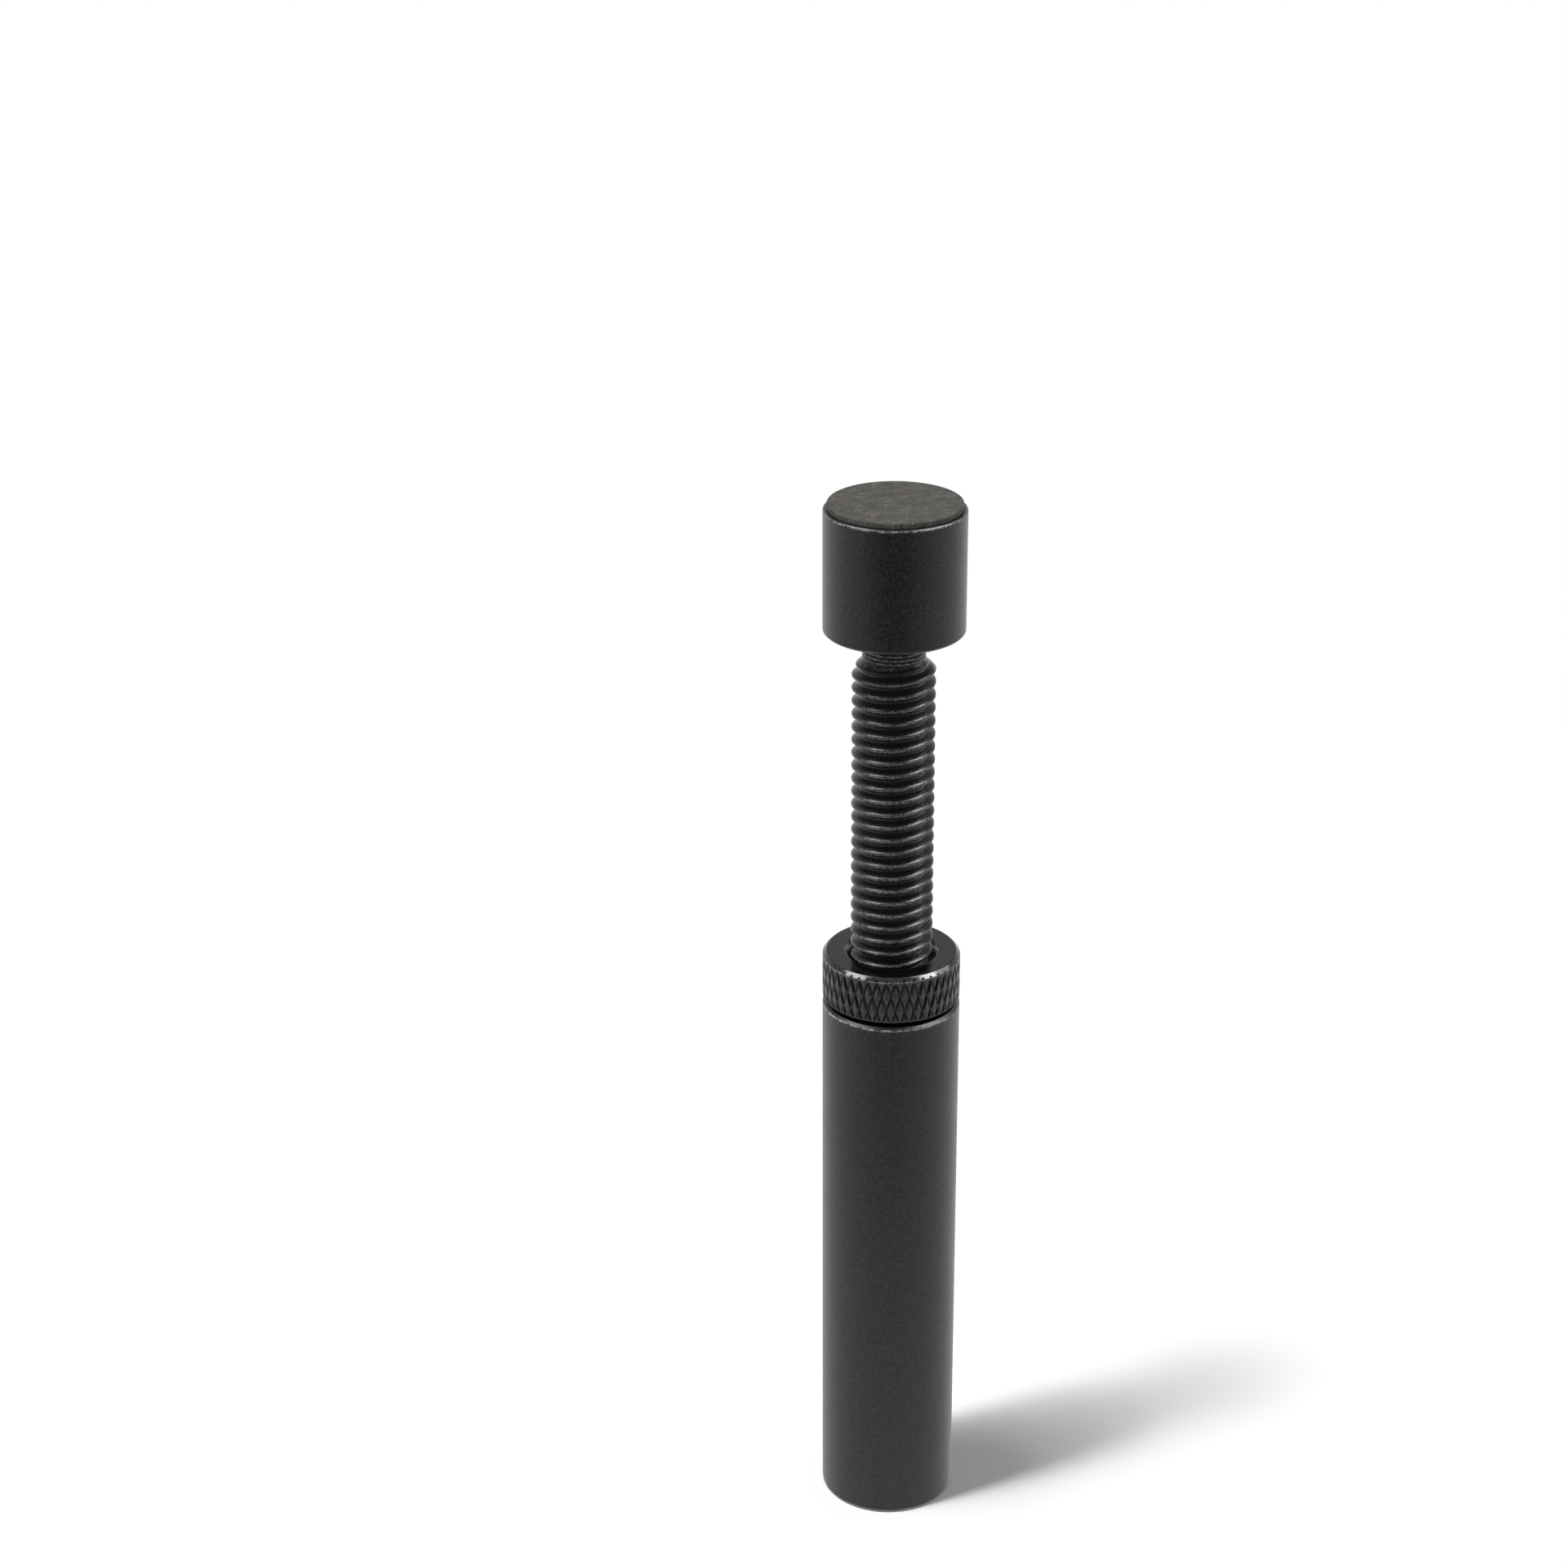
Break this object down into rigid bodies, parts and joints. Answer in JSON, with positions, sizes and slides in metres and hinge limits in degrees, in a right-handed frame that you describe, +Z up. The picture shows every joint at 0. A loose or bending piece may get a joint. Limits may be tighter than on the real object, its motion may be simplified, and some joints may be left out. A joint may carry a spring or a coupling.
{
  "type": "graphics card support bracket",
  "caption": "Slim black screw post that stands under the free end of a graphics card; turning its knurled ring raises a threaded rod with a round padded head.",
  "frame": {"origin": "centre of the tube's foot, on the surface that it stands on", "axes": "+Z up along the post's axis"},
  "size_m": [0.014, 0.014, 0.1116],
  "materials": {
    "matte_black": "matte black anodised, finely bead blasted",
    "gloss_black": "glossy black anodised over bright turning",
    "magnet_plating": "nickel plated",
    "pad_rubber": "dark grey, lightly textured"
  },
  "bodies": {
    "base": {"base_tube": "matte_black", "base_magnet": "magnet_plating"},
    "ring": {"adjusting_ring": "gloss_black"},
    "screw": {"threaded_rod": "gloss_black", "head": "matte_black", "head_pad": "pad_rubber"}
  },
  "joints": [
    {"name": "ring_turn", "type": "hinge", "parent": "base", "child": "ring", "pos_m": [0, 0, 0.0585], "axis": [0, 0, -1], "range_deg": [-8870, 2348]},
    {"name": "screw_lift", "type": "slide", "parent": "base", "child": "screw", "axis": [0, 0, 1], "range_m": [-0.034, 0.009]}
  ],
  "couplings": [
    {"joint": "ring_turn", "follows": "screw_lift", "rad_per_m": 4553}
  ]
}
